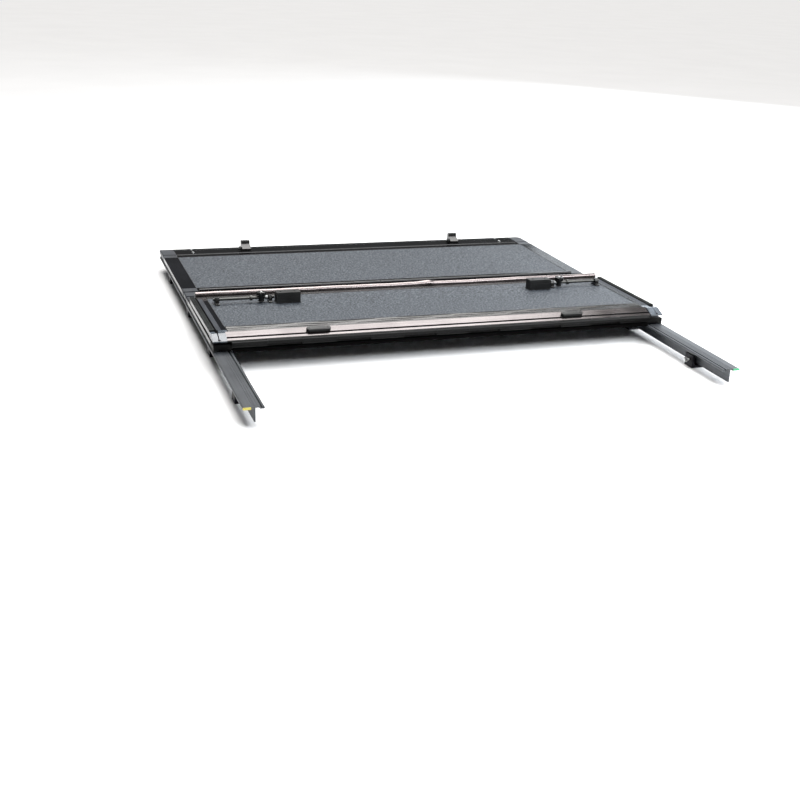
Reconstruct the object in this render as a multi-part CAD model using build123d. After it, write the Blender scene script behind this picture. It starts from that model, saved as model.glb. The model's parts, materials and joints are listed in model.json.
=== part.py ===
from build123d import *
import math
import os

# Hard tri-fold cover for a pickup bed, in millimetres.
# +X points to the right seen from behind the truck, +Y towards the cab, +Z up.
# The front panel lies closed, and the rear panel is folded forward on top of the middle panel.
# Heights below are measured from SEAT_Z, the plane that the undersides of the closed panels share.

# Overall size and the panels' shared sections
HALF_WIDTH = 800.0          # outer edge of each side rail
FRONT_Y = 900.0             # front panel's leading edge, over the bed's front wall
RAIL_FRONT_Y = 860.0
RAIL_REAR_Y = -845.0
ORIGIN_Y = (FRONT_Y + RAIL_REAR_Y) / 2      # middle of the cover's length, written as y = 0
PANEL_HALF = 797.0          # outer edge of each panel
PANEL_T = 20.0              # thickness of every panel
SEAT_Z = 62.0               # underside of the closed panels above the ground the clamps stand on
SKIN_HALF = 743.0           # the skins' outer edge, where the side members start
SKIN_T = 1.5
SKIN_SINK = 0.6             # how far a skin lies below its frame

# Where the panels start and end along Y, with the rear panel laid flat
HEADER_Y = 745.0            # rear edge of the front header
HEADER_STEP_Y = 790.0       # where its sunk band ends
HEADER_SINK = 1.5
HEADER_NOSE_W = 48.0
HEADER_FALL = 3.0           # how far its nose falls before it rounds down
HEADER_ROUND = 12.0         # length of that rounding
FRONT_REAR_Y = 253.0        # rear face of the front panel
FRONT_HINGE_W = 41.0        # width of the members beside the front hinge
KNUCKLE_OUT = 7.0           # from a panel's end face to its hinge pin
LINK_SPAN = 53.0            # between the two pins of the double front hinge
MIDDLE_REAR_Y = -364.0      # rear face of the middle panel
MIDDLE_REAR_W = 54.0
SLOPE_W = 47.0              # sloping part of the rear panel's hinge member
RIB_BAND_W = 55.0           # flat ribbed part of the same member
HINGE_CAP_W = 20.0          # how far its end caps reach past the slope
TAILGATE_Y = -852.0
TAILGATE_W = 34.0

# Hinges
PIN_Z = 24.0
PIN_R = 3.0
PIN_HOLE_R = 3.05
KNUCKLE_R = 6.0
KNUCKLE_HALF = 740.0        # the knuckles reach this far to each side
KNUCKLES = 13
KNUCKLE_GAP = 0.6
REST_TILT = 0.8             # the folded rear panel leans down towards its free edge, in degrees

# Side members of the panels
BAND_SPLIT = 758.5
BAND_EDGE = 775.5
SEAL_INNER = 778.5
SEAL_SEAT = 4.0
SEAL_DROP = 2.6             # below the panel's underside
CAP_INNER = 752.0           # inner edge of the rear panel's hinge caps
CORNER_R = 14.0             # front panel's rounded corners

# Side rails and clamps
RAIL_TOP = -3.0
LIP_IN = 737.4
LIP_OUT = 745.0
CHANNEL_OUT = 751.0
BOX_IN = 777.0
FLANGE_T = 3.0
BOX_DEPTH = 7.0
BOX_WALL = 1.6
LEG_IN = 764.0
LEG_T = 4.0
LEG_BOTTOM = -48.0
TAPE_T = 2.0
PLUG_T = 2.0
PLUG_TONGUE = 12.0
CLAMP_YS = (-640.0, -215.0, 225.0, 680.0)
CLAMP_LENGTH = 45.0
CLAMP_IN = 744.0
CLAMP_OUT = 788.0
CLAMP_WALL = 8.0
CLAMP_INNER_TOP = -20.0
CLAMP_JAW_TOP = -26.0
CLAMP_RIB = 6.0
CLAMP_SCREW_Z = -38.0
CLAMP_SCREW_R = 4.0
CLAMP_HOLE_R = 4.1
CLAMP_HEAD_X = 727.0        # inner end of each clamp screw's head
CLAMP_HEAD_R = 8.0
CLAMP_HEAD_L = 6.0
FOOT_R = 9.0
FOOT_T = 6.0

# Latches
LATCH_Y = -745.0
LATCH_Z = -16.0
ROD_R = 5.0
ROD_HOLE_R = 5.06
ROD_IN = 521.0
ROD_OUT = 733.0
ROD_TIP = 1.5
COLLAR_X = (598.0, 606.0)
COLLAR_R = 9.0
OUTER_GUIDE = (713.0, 727.0)
OUTER_GUIDE_HALF = 22.0     # half the foot's length along Y
INNER_GUIDE = (530.0, 542.0)
INNER_GUIDE_HALF = 18.0
GUIDE_TIP_HALF = 11.0
GUIDE_FOOT_Z = -4.0
KNOB_X = 566.0
KNOB_R = 17.0
KNOB_Z = (-37.5, -24.0)
KNOB_NECK_R = 11.0
KNOB_LOBES = 6
KNOB_NOTCH_R = 6.0
KNOB_NOTCH_AT = 20.5        # from the knob's axis to the middle of each notch

# Bumpers and rests
BLOCK_X = 476.0
BLOCK_Y = -733.0
BLOCK_SIZE = (84.0, 36.0, 38.0)
PAD_X = 452.0
PAD_SIZE = (82.0, 21.0, 12.0)
BRACKET_X = 455.0
BRACKET_W = 36.0
BRACKET_Y = 800.0           # near face
BRACKET_STEP = 11.0         # height of that face
BRACKET_RAMP = (28.0, 14.0)
BRACKET_DEPTH = 46.0
BRACKET_H = 38.0
THUMB_R = 5.5
THUMB_L = 12.0
SCREW_X = 672.0
SCREW_YS = (815.0, 862.0)
SCREW_SPHERE_R = 6.5        # each screw's dome is a slice of a sphere
SCREW_DOME_SINK = 3.5       # how far the sphere's middle lies below its seat
BULB_R = 10.5
BULB_WALL = 2.5
BULB_Y = TAILGATE_Y - 6.0
BULB_Z = -4.0
BULB_HALF = 775.0

# Pin lines, worked out from the panels
FRONT_PIN_Y = FRONT_REAR_Y - KNUCKLE_OUT
MIDDLE_PIN_Y = FRONT_PIN_Y - LINK_SPAN
MIDDLE_FRONT_Y = MIDDLE_PIN_Y - KNUCKLE_OUT
REAR_PIN_Y = MIDDLE_REAR_Y - KNUCKLE_OUT
NOSE_Y = REAR_PIN_Y - KNUCKLE_OUT
SLOPE_Y = NOSE_Y - SLOPE_W
HINGE_MEMBER_Y = SLOPE_Y - RIB_BAND_W


def slab(x0, x1, y0, y1, z0, z1):
    """Box between two corners."""
    middle = ((x0 + x1) / 2, (y0 + y1) / 2, (z0 + z1) / 2)
    return Pos(*middle) * Box(abs(x1 - x0), abs(y1 - y0), abs(z1 - z0))


def prism_y(outline, y0, y1):
    """Outline of (x, z) points run along Y."""
    face = Face(Wire.make_polygon([Vector(x, y0, z) for x, z in outline], close=True))
    return Solid.extrude(face, Vector(0, y1 - y0, 0))


def prism_x(outline, x0, x1):
    """Outline of (y, z) points run along X."""
    face = Face(Wire.make_polygon([Vector(x0, y, z) for y, z in outline], close=True))
    return Solid.extrude(face, Vector(x1 - x0, 0, 0))


def rod_x(radius, x0, x1, y, z):
    """Round bar along X."""
    return Pos((x0 + x1) / 2, y, z) * Rot(Y=90) * Cylinder(radius, abs(x1 - x0))


def rod_z(radius, x, y, z0, z1):
    """Round bar along Z."""
    return Pos(x, y, (z0 + z1) / 2) * Cylinder(radius, abs(z1 - z0))


def notched(start, end, level, depth, count, width):
    """Points from start to end at one level, with evenly spaced notches to level + depth."""
    step = (end - start) / count
    half = math.copysign(width / 2, step)
    points = []
    for index in range(count):
        middle = start + (index + 0.5) * step
        points += [(middle - half, level), (middle - half, level + depth)]
        points += [(middle + half, level + depth), (middle + half, level)]
    return points


def other_side(shape):
    """The same piece on the left."""
    return mirror(shape, about=Plane.YZ)


def both_sides(shape):
    """Right and left pieces as two solids in one node."""
    return Compound(children=[shape, other_side(shape)])


def fold_rear(shape):
    """Carry a piece of the rear panel from lying flat to lying folded on the middle panel."""
    back = Pos(0, REAR_PIN_Y, PIN_Z) * Rot(X=-(180 + REST_TILT)) * Pos(0, -REAR_PIN_Y, -PIN_Z)
    return back * shape


def save(name, shape):
    """Carry a piece from the seat plane to the ground frame, centred along Y, and write it."""
    export_step(Pos(0, -ORIGIN_Y, SEAT_Z) * shape, f"parts/{name}.step")


def knuckle_spans(parity):
    """X spans of every second knuckle along a hinge."""
    step = 2 * KNUCKLE_HALF / KNUCKLES
    spans = []
    for index in range(parity, KNUCKLES, 2):
        start = -KNUCKLE_HALF + index * step + KNUCKLE_GAP / 2
        spans.append((start, start + step - KNUCKLE_GAP))
    return spans


def add_knuckles(member, pin_y, end_y, ear_low, parity):
    """Give a cross member its share of a hinge's knuckles, each on an ear from the end face."""
    for x0, x1 in knuckle_spans(parity):
        member += slab(x0, x1, pin_y, end_y, ear_low, PIN_Z)
        member += rod_x(KNUCKLE_R, x0, x1, pin_y, PIN_Z)
    return member - rod_x(PIN_HOLE_R, -KNUCKLE_HALF - 1, KNUCKLE_HALF + 1, pin_y, PIN_Z)


def hinge_pin(pin_y):
    """Steel pin through one hinge."""
    return rod_x(PIN_R, -KNUCKLE_HALF, KNUCKLE_HALF, pin_y, PIN_Z)


def side_member(y0, y1):
    """Right side member of a panel: ribbed on top, with a rebate for its seal underneath."""
    outline = [(SKIN_HALF, 0)]
    outline += notched(SKIN_HALF + 1, BAND_SPLIT - 1, 0, 1.0, 3, 2.4)
    outline += [(BAND_EDGE, 0), (BAND_EDGE, SEAL_SEAT), (PANEL_HALF, SEAL_SEAT)]
    outline += [(PANEL_HALF, PANEL_T - 3), (PANEL_HALF - 3, PANEL_T)]
    outline += notched(PANEL_HALF - 7, SKIN_HALF + 3, PANEL_T, -0.8, 8, 1.8)
    outline += [(SKIN_HALF, PANEL_T)]
    member = prism_y(outline, y0, y1)
    member -= slab(SKIN_HALF + 3, BAND_EDGE - 3, y0 - 1, y1 + 1, 3.5, PANEL_T - 4)
    return member - slab(BAND_EDGE, PANEL_HALF - 4, y0 - 1, y1 + 1, 8, PANEL_T - 4)


def side_seal(y0, y1, drop):
    """Right rubber strip under a panel's edge, with two ribs along it."""
    width = PANEL_HALF - SEAL_INNER
    outline = [(SEAL_INNER, SEAL_SEAT), (SEAL_INNER, -drop + 1), (SEAL_INNER + 1.5, -drop)]
    outline += notched(SEAL_INNER + 3, SEAL_INNER + width - 3, -drop, 1.6, 2, 2.5)
    outline += [(PANEL_HALF - 1.5, -drop), (PANEL_HALF, -drop + 1), (PANEL_HALF, SEAL_SEAT)]
    return prism_y(outline, y0, y1)


def skins_and_core(y0, y1):
    """Top skin, bottom skin and foam core of one panel, between its frame members."""
    top = PANEL_T - SKIN_SINK
    top_skin = slab(-SKIN_HALF, SKIN_HALF, y0, y1, top - SKIN_T, top)
    bottom_skin = slab(-SKIN_HALF, SKIN_HALF, y0, y1, SKIN_SINK, SKIN_SINK + SKIN_T)
    core = slab(-SKIN_HALF, SKIN_HALF, y0, y1, SKIN_SINK + SKIN_T, top - SKIN_T)
    return top_skin, bottom_skin, core


def save_skins(panel, y0, y1, place):
    """Write one panel's skins and core."""
    for name, shape in zip(("top_skin", "bottom_skin", "core"), skins_and_core(y0, y1)):
        save(f"{panel}_{name}", place(shape))


def save_sides(panel, y0, y1, place):
    """Write one panel's side members."""
    member = side_member(y0, y1)
    save(f"{panel}_right_rail", place(member))
    save(f"{panel}_left_rail", place(other_side(member)))


def corner_cap(y0, y1, outer_y, round_r):
    """Right moulded corner: square to its neighbours, rounded where the panel's corner is."""
    cap = slab(SKIN_HALF, PANEL_HALF, y0, y1, 0, PANEL_T)
    if round_r:
        upright = cap.edges().filter_by(Axis.Z).sort_by_distance((PANEL_HALF, outer_y, 10))[0]
        cap = fillet(upright, round_r)
    rim = cap.faces().sort_by(Axis.Z)[-1].edges().sort_by(Axis.X)[-1]
    cap = chamfer(rim, 3)
    return cap - slab(BAND_EDGE, PANEL_HALF + 1, y0 - 1, y1 + 1, -1, SEAL_SEAT)


def place_as_built(shape):
    """The front and middle panels are modelled where they lie."""
    return shape


# Side rails: a flange on the bed wall, a box along its outer edge, a leg inside the bed and a rolled lip
def side_rail():
    flange_low = RAIL_TOP - FLANGE_T
    box_low = RAIL_TOP - BOX_DEPTH
    outline = [(LIP_IN + 2, RAIL_TOP), (LIP_OUT, RAIL_TOP), (LIP_OUT, box_low + 2)]
    outline += [(CHANNEL_OUT, box_low + 2), (CHANNEL_OUT, RAIL_TOP)]
    outline += notched(CHANNEL_OUT + 3, BOX_IN - 2, RAIL_TOP, -0.8, 3, 2.0)
    outline += [(HALF_WIDTH - 2, RAIL_TOP), (HALF_WIDTH, RAIL_TOP - 2), (HALF_WIDTH, box_low)]
    outline += [(BOX_IN, box_low), (BOX_IN, flange_low), (LEG_IN + LEG_T, flange_low)]
    outline += [(LEG_IN + LEG_T, LEG_BOTTOM), (LEG_IN, LEG_BOTTOM), (LEG_IN, flange_low)]
    outline += [(CHANNEL_OUT + 3, flange_low), (CHANNEL_OUT, box_low), (LIP_IN + 2, box_low)]
    outline += [(LIP_IN, box_low + 2), (LIP_IN, RAIL_TOP - 2)]
    start, end = RAIL_REAR_Y + PLUG_T, RAIL_FRONT_Y
    rail = prism_y(outline, start, end)
    x0, x1 = BOX_IN + BOX_WALL, HALF_WIDTH - BOX_WALL
    return rail - slab(x0, x1, start - 1, end + 1, box_low + BOX_WALL, RAIL_TOP - BOX_WALL)


def rail_plug():
    """Right end plug: a plate with a tongue inside the rail's box."""
    low = RAIL_TOP - BOX_DEPTH
    plate_end = RAIL_REAR_Y + PLUG_T
    plate = slab(BOX_IN, HALF_WIDTH, RAIL_REAR_Y, plate_end, low, RAIL_TOP)
    return plate + slab(BOX_IN + 2, HALF_WIDTH - 2, plate_end, plate_end + PLUG_TONGUE, low + 2, RAIL_TOP - 2)


def clamp_body(y):
    """Right C clamp, open upwards around the rail's leg and the bed's flange."""
    y0, y1 = y - CLAMP_LENGTH / 2, y + CLAMP_LENGTH / 2
    inner_wall = CLAMP_IN + CLAMP_WALL
    floor_top = -SEAT_Z + CLAMP_WALL
    body = slab(CLAMP_IN, inner_wall, y0, y1, -SEAT_Z, CLAMP_INNER_TOP)
    body += slab(CLAMP_IN, CLAMP_OUT, y0, y1, -SEAT_Z, floor_top)
    body += slab(CLAMP_OUT - CLAMP_WALL, CLAMP_OUT, y0, y1, -SEAT_Z, CLAMP_JAW_TOP)
    rib = [(inner_wall, floor_top), (inner_wall + CLAMP_RIB, floor_top), (inner_wall, floor_top + CLAMP_RIB)]
    body += prism_y(rib, y0, y1)
    return body - rod_x(CLAMP_HOLE_R, CLAMP_IN - 1, inner_wall + 1, y, CLAMP_SCREW_Z)


def clamp_screw(y):
    """Right clamp screw: a hex head inside the bed and a shank to the pressure foot."""
    hexagon = extrude(RegularPolygon(CLAMP_HEAD_R, 6), CLAMP_HEAD_L)
    head = Pos(CLAMP_HEAD_X, y, CLAMP_SCREW_Z) * Rot(Y=90) * hexagon
    return head + rod_x(CLAMP_SCREW_R, CLAMP_HEAD_X + CLAMP_HEAD_L / 2, LEG_IN - FOOT_T, y, CLAMP_SCREW_Z)


def clamp_foot(y):
    """Right pressure foot between the screw and the rail's leg."""
    return rod_x(FOOT_R, LEG_IN - FOOT_T, LEG_IN, y, CLAMP_SCREW_Z)


def row_of(maker):
    """One clamp piece at every clamp on the right side."""
    return [maker(y) for y in CLAMP_YS]


def save_rails_and_clamps():
    rail = side_rail()
    save("right_side_rail", rail)
    save("left_side_rail", other_side(rail))
    low = RAIL_TOP - BOX_DEPTH
    tape = slab(BOX_IN + 1, HALF_WIDTH - 1, RAIL_REAR_Y + 5, RAIL_FRONT_Y - 5, low - TAPE_T, low)
    save("rail_tapes", both_sides(tape))
    save("right_rail_end_plug", rail_plug())
    save("left_rail_end_plug", other_side(rail_plug()))
    bodies = row_of(clamp_body)
    save("right_clamp_bodies", Compound(children=bodies))
    save("left_clamp_bodies", Compound(children=[other_side(body) for body in bodies]))
    for name, maker in (("clamp_screws", clamp_screw), ("clamp_feet", clamp_foot)):
        right = row_of(maker)
        save(name, Compound(children=right + [other_side(piece) for piece in right]))


# Front panel
def header_rail():
    """Front cross member: a sunk band beside the skin, a ribbed top, and a nose that falls to the front."""
    sunk = PANEL_T - HEADER_SINK
    nose = FRONT_Y - HEADER_NOSE_W
    outline = [(HEADER_Y, 0), (HEADER_Y, sunk)]
    outline += notched(HEADER_Y + 3, HEADER_STEP_Y - 5, sunk, -0.8, 4, 2.5)
    outline += [(HEADER_STEP_Y - 2, sunk), (HEADER_STEP_Y, PANEL_T)]
    outline += notched(HEADER_STEP_Y + 4, nose - 4, PANEL_T, -0.8, 3, 2.5)
    outline += [(nose, PANEL_T), (FRONT_Y - HEADER_ROUND, PANEL_T - HEADER_FALL)]
    outline += [(FRONT_Y - 4, PANEL_T - HEADER_FALL - 3), (FRONT_Y, PANEL_T - HEADER_FALL - 8), (FRONT_Y, 0)]
    member = prism_x(outline, -SKIN_HALF, SKIN_HALF)
    return member - slab(-SKIN_HALF - 1, SKIN_HALF + 1, HEADER_Y + 5, FRONT_Y - 14, 4, sunk - 4)


def front_hinge_member():
    """Rear cross member of the front panel."""
    y1 = FRONT_REAR_Y + FRONT_HINGE_W
    member = slab(-SKIN_HALF, SKIN_HALF, FRONT_REAR_Y, y1, 0, PANEL_T)
    member -= slab(-SKIN_HALF - 1, SKIN_HALF + 1, FRONT_REAR_Y + 6, y1 - 4, 4, PANEL_T - 4)
    for offset in (12, 20, 28):
        y = FRONT_REAR_Y + offset
        member -= slab(-SKIN_HALF, SKIN_HALF, y, y + 2, PANEL_T - 0.8, PANEL_T)
    return add_knuckles(member, FRONT_PIN_Y, FRONT_REAR_Y, 8, 0)


def front_cap():
    """Right front corner, with the header's sunk band and falling nose carried round to the side."""
    cap = corner_cap(HEADER_Y, FRONT_Y, FRONT_Y, CORNER_R)
    nose = FRONT_Y - HEADER_NOSE_W
    cap -= slab(SKIN_HALF, PANEL_HALF, HEADER_Y, HEADER_STEP_Y, PANEL_T - HEADER_SINK, PANEL_T)
    wedge = [(nose, PANEL_T), (FRONT_Y, PANEL_T), (FRONT_Y, PANEL_T - HEADER_FALL - 3)]
    return cap - prism_x(wedge, SKIN_HALF, PANEL_HALF)


def stack_bracket(x):
    """Rest that carries the folded stack: a ramp with a back stop, and a thumb screw in its left side."""
    y0 = BRACKET_Y
    y1 = y0 + BRACKET_DEPTH
    step = PANEL_T + BRACKET_STEP
    ramp_end, ramp_rise = BRACKET_RAMP
    top = PANEL_T + BRACKET_H
    outline = [(y0, PANEL_T), (y0, step), (y0 + ramp_end, step + ramp_rise), (y0 + ramp_end + 3, top - 2)]
    outline += [(y0 + ramp_end + 6, top), (y1 - 4, top), (y1, top - 4), (y1, PANEL_T)]
    half = BRACKET_W / 2
    body = prism_x(outline, x - half, x + half)
    wall = 4
    body -= slab(x - half + wall, x + half - wall, y0 + ramp_end + wall, y1 - wall, PANEL_T, top - 6)
    screw_y = y0 + ramp_end / 2
    return body + rod_x(THUMB_R, x - half - THUMB_L, x - half, screw_y + wall, PANEL_T + BRACKET_STEP)


def header_screw(x, y):
    """Domed screw, square to the header's surface where it sits."""
    fall_start = FRONT_Y - HEADER_NOSE_W
    slope = HEADER_FALL / (HEADER_NOSE_W - HEADER_ROUND)
    beyond = max(0.0, y - fall_start)
    tilt = -math.degrees(math.atan(slope)) if beyond else 0.0
    sphere = Pos(0, 0, -SCREW_DOME_SINK) * Sphere(SCREW_SPHERE_R)
    reach = SCREW_SPHERE_R + 1
    dome = sphere & slab(-reach, reach, -reach, reach, 0, reach)
    return Pos(x, y, PANEL_T - slope * beyond) * Rot(X=tilt) * dome


def header_screws():
    """Screws that hold the header, two near each corner."""
    return Compound(children=[header_screw(x, y) for x in (-SCREW_X, SCREW_X) for y in SCREW_YS])


def header_seal():
    """Rubber strip under the header that seals against the bed's front wall."""
    y = FRONT_Y - 20
    outline = [(y - 9, 0), (y - 9, -2), (y - 6, -2), (y - 5, -7), (y - 2, -9), (y + 2, -9)]
    outline += [(y + 5, -7), (y + 6, -2), (y + 9, -2), (y + 9, 0)]
    return prism_x(outline, -LIP_IN + 4, LIP_IN - 4)


def save_front_panel():
    save_skins("front_panel", FRONT_REAR_Y + FRONT_HINGE_W, HEADER_Y, place_as_built)
    save_sides("front_panel", FRONT_REAR_Y + FRONT_HINGE_W, HEADER_Y, place_as_built)
    save("front_panel_header_rail", header_rail())
    save("front_panel_hinge_rail", front_hinge_member())
    save("front_panel_front_caps", both_sides(front_cap()))
    rear_cap = corner_cap(FRONT_REAR_Y, FRONT_REAR_Y + FRONT_HINGE_W, FRONT_REAR_Y, 0)
    save("front_panel_rear_caps", both_sides(rear_cap))
    save("front_panel_side_seals", both_sides(side_seal(FRONT_REAR_Y, RAIL_FRONT_Y, -RAIL_TOP)))
    save("header_seal", header_seal())
    save("stack_rest_brackets", Compound(children=[stack_bracket(x) for x in (-BRACKET_X, BRACKET_X)]))
    save("header_screws", header_screws())


# Double front hinge: a link between two pins, so that the stack clears the front panel when it folds over
def hinge_link():
    y0, y1 = MIDDLE_PIN_Y + KNUCKLE_OUT, FRONT_PIN_Y - KNUCKLE_OUT
    link = slab(-SKIN_HALF, SKIN_HALF, y0, y1, 4, PANEL_T)
    link -= slab(-SKIN_HALF - 1, SKIN_HALF + 1, y0 + 4, y1 - 4, 8, PANEL_T - 4)
    for offset in (9, 18.5, 28):
        link -= slab(-SKIN_HALF, SKIN_HALF, y0 + offset, y0 + offset + 2, PANEL_T - 0.8, PANEL_T)
    link = add_knuckles(link, FRONT_PIN_Y, y1, 8, 1)
    return add_knuckles(link, MIDDLE_PIN_Y, y0, 8, 0)


def link_cap():
    """Right end of the hinge link."""
    y0, y1 = MIDDLE_PIN_Y + KNUCKLE_OUT - 4, FRONT_PIN_Y - KNUCKLE_OUT + 4
    cap = slab(SKIN_HALF, PANEL_HALF, y0, y1, SEAL_SEAT, PANEL_T)
    rim = cap.faces().sort_by(Axis.Z)[-1].edges().sort_by(Axis.X)[-1]
    return chamfer(rim, 3)


def save_hinge_link():
    save("hinge_link", hinge_link())
    save("hinge_link_caps", both_sides(link_cap()))
    save("front_hinge_pin", hinge_pin(FRONT_PIN_Y))
    save("middle_hinge_pin", hinge_pin(MIDDLE_PIN_Y))


# Middle panel
def middle_front_member():
    y0 = MIDDLE_FRONT_Y - FRONT_HINGE_W
    member = slab(-SKIN_HALF, SKIN_HALF, y0, MIDDLE_FRONT_Y, 0, PANEL_T)
    member -= slab(-SKIN_HALF - 1, SKIN_HALF + 1, y0 + 4, MIDDLE_FRONT_Y - 6, 4, PANEL_T - 4)
    return add_knuckles(member, MIDDLE_PIN_Y, MIDDLE_FRONT_Y, 8, 1)


def middle_rear_member():
    y1 = MIDDLE_REAR_Y + MIDDLE_REAR_W
    member = slab(-SKIN_HALF, SKIN_HALF, MIDDLE_REAR_Y, y1, 0, PANEL_T)
    member -= slab(-SKIN_HALF - 1, SKIN_HALF + 1, MIDDLE_REAR_Y + 6, y1 - 4, 4, PANEL_T - 4)
    return add_knuckles(member, REAR_PIN_Y, MIDDLE_REAR_Y, 10, 0)


def hinge_gap_seal():
    """Rubber lip below the rear hinge's ears."""
    y = MIDDLE_REAR_Y
    outline = [(y, 8), (y, -SEAL_DROP), (y - 4, -5), (y - 8, -5)]
    outline += [(y - 11, -2.5), (y - 11, 3), (y - 8, 7), (y - 4, 8)]
    return prism_x(outline, -LIP_IN + 2, LIP_IN - 2)


def save_middle_panel():
    rear_end = MIDDLE_REAR_Y + MIDDLE_REAR_W
    front_end = MIDDLE_FRONT_Y - FRONT_HINGE_W
    save_skins("middle_panel", rear_end, front_end, place_as_built)
    save_sides("middle_panel", rear_end, front_end, place_as_built)
    save("middle_panel_front_rail", middle_front_member())
    save("middle_panel_rear_rail", middle_rear_member())
    save("middle_panel_front_caps", both_sides(corner_cap(front_end, MIDDLE_FRONT_Y, MIDDLE_FRONT_Y, 0)))
    save("middle_panel_rear_caps", both_sides(corner_cap(MIDDLE_REAR_Y, rear_end, MIDDLE_REAR_Y, 0)))
    save("middle_panel_side_seals", both_sides(side_seal(MIDDLE_REAR_Y, MIDDLE_FRONT_Y, SEAL_DROP)))
    save("middle_panel_hinge_seal", hinge_gap_seal())
    save("rear_hinge_pin", hinge_pin(REAR_PIN_Y))


# Rear panel, modelled flat and then folded
def slope_z(y):
    """Height of the sloping underside at one Y between the nose and the rib band."""
    nose_low = PANEL_T - 3
    return nose_low * (y - SLOPE_Y) / (NOSE_Y - SLOPE_Y)


def rib_band():
    """Flat ribbed part of the rear panel's hinge member, between the side members."""
    outline = [(SLOPE_Y, PANEL_T), (HINGE_MEMBER_Y, PANEL_T), (HINGE_MEMBER_Y, 0)]
    outline += notched(HINGE_MEMBER_Y + 8, SLOPE_Y - 2, 0, 1.2, 5, 4.5)
    outline += [(SLOPE_Y, 0)]
    return prism_x(outline, -SKIN_HALF, SKIN_HALF)


def sloping_nose():
    """Part that slopes to a thin nose, with a groove along it."""
    groove = NOSE_Y - 14
    inner, outer = slope_z(groove - 4), slope_z(groove)
    outline = [(NOSE_Y + 1.0, PANEL_T - 1), (NOSE_Y, PANEL_T), (SLOPE_Y, PANEL_T), (SLOPE_Y, 0)]
    outline += [(groove - 4, inner), (groove - 4, inner + 2), (groove, outer + 2), (groove, outer)]
    outline += [(NOSE_Y - 3, slope_z(NOSE_Y - 3) + 0.4), (NOSE_Y, PANEL_T - 2.6)]
    return prism_x(outline, -CAP_INNER, CAP_INNER)


def rear_hinge_member():
    """Rear panel's hinge member: thin at its nose so that the folded panel clears the hinge."""
    member = rib_band() + sloping_nose()
    hollow = [(SLOPE_Y + 12, 9), (SLOPE_Y, 4.5), (HINGE_MEMBER_Y + 4, 4.5)]
    hollow += [(HINGE_MEMBER_Y + 4, 16), (SLOPE_Y + 12, 16)]
    member -= prism_x(hollow, -CAP_INNER - 1, CAP_INNER + 1)
    return add_knuckles(member, REAR_PIN_Y, NOSE_Y - 0.5, PANEL_T - 3, 1)


def rear_hinge_cap():
    """Right moulded end of the rear panel's hinge member, following its slope."""
    start = SLOPE_Y - HINGE_CAP_W
    nose = (NOSE_Y, PANEL_T - 4)
    lead = prism_x([(SLOPE_Y, 0), (start, 0), (start, PANEL_T), (SLOPE_Y, PANEL_T)], SKIN_HALF, BAND_EDGE)
    slope = [(NOSE_Y, PANEL_T), (SLOPE_Y, PANEL_T), (SLOPE_Y, 0), (SLOPE_Y + 12, 0), nose]
    inner = prism_x(slope, CAP_INNER, BAND_EDGE)
    joined = [(NOSE_Y, PANEL_T), (start, PANEL_T), (start, SEAL_SEAT), (SLOPE_Y + 12, SEAL_SEAT), nose]
    groove = prism_x(joined, BAND_EDGE, SEAL_INNER)
    raised = [(NOSE_Y, PANEL_T), (start, PANEL_T), (start, SEAL_SEAT), (SLOPE_Y, SEAL_SEAT)]
    raised += [(SLOPE_Y, 1), (SLOPE_Y + 10, 1), nose]
    return lead + inner + groove + prism_x(raised, SEAL_INNER, PANEL_HALF)


def tailgate_rail():
    """Free edge member, with a rebate that holds the bulb seal."""
    y0 = TAILGATE_Y
    outline = [(y0 + TAILGATE_W, PANEL_T), (y0 + 3, PANEL_T), (y0, PANEL_T - 3)]
    outline += [(y0, 5), (y0 + 6, 5), (y0 + 6, 0)]
    outline += notched(y0 + 9, y0 + TAILGATE_W - 3, 0, 1.4, 2, 4.0)
    outline += [(y0 + TAILGATE_W, 0)]
    member = prism_x(outline, -SKIN_HALF, SKIN_HALF)
    return member - slab(-SKIN_HALF - 1, SKIN_HALF + 1, y0 + 9, y0 + TAILGATE_W - 4, 5, PANEL_T - 4)


def tailgate_cap():
    """Right corner at the tailgate."""
    cap = corner_cap(TAILGATE_Y, TAILGATE_Y + TAILGATE_W, TAILGATE_Y, 10)
    return cap - slab(SKIN_HALF - 1, PANEL_HALF + 1, TAILGATE_Y - 1, TAILGATE_Y + 6, -1, 5)


def bulb_seal():
    """Hollow round seal along the free edge, on a tongue that fills the rail's rebate."""
    bulb = rod_x(BULB_R, -BULB_HALF, BULB_HALF, BULB_Y, BULB_Z)
    bulb += slab(-BULB_HALF, BULB_HALF, TAILGATE_Y, TAILGATE_Y + 6, 1.5, 5)
    return bulb - rod_x(BULB_R - BULB_WALL, -BULB_HALF - 1, BULB_HALF + 1, BULB_Y, BULB_Z)


def bumper_block():
    """Right rubber block under the rear panel."""
    width, depth, height = BLOCK_SIZE
    x0, y0 = BLOCK_X - width / 2, BLOCK_Y - depth / 2
    block = slab(x0, x0 + width, y0, y0 + depth, SKIN_SINK - height, SKIN_SINK)
    return fillet(block.edges().filter_by(Axis.Z), 5)


def rest_pad():
    """Right round-ended pad on the hinge member's slope."""
    width, depth, height = PAD_SIZE
    y = (NOSE_Y + SLOPE_Y) / 2 - 4
    angle = math.degrees(math.atan2(PANEL_T - 3, SLOPE_W))
    plate = Box(width, depth, height)
    plate = fillet(plate.edges().filter_by(Axis.Z), depth / 2 - 1)
    return Pos(PAD_X, y, slope_z(y)) * Rot(X=angle) * Pos(0, 0, -height / 2) * plate


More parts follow.
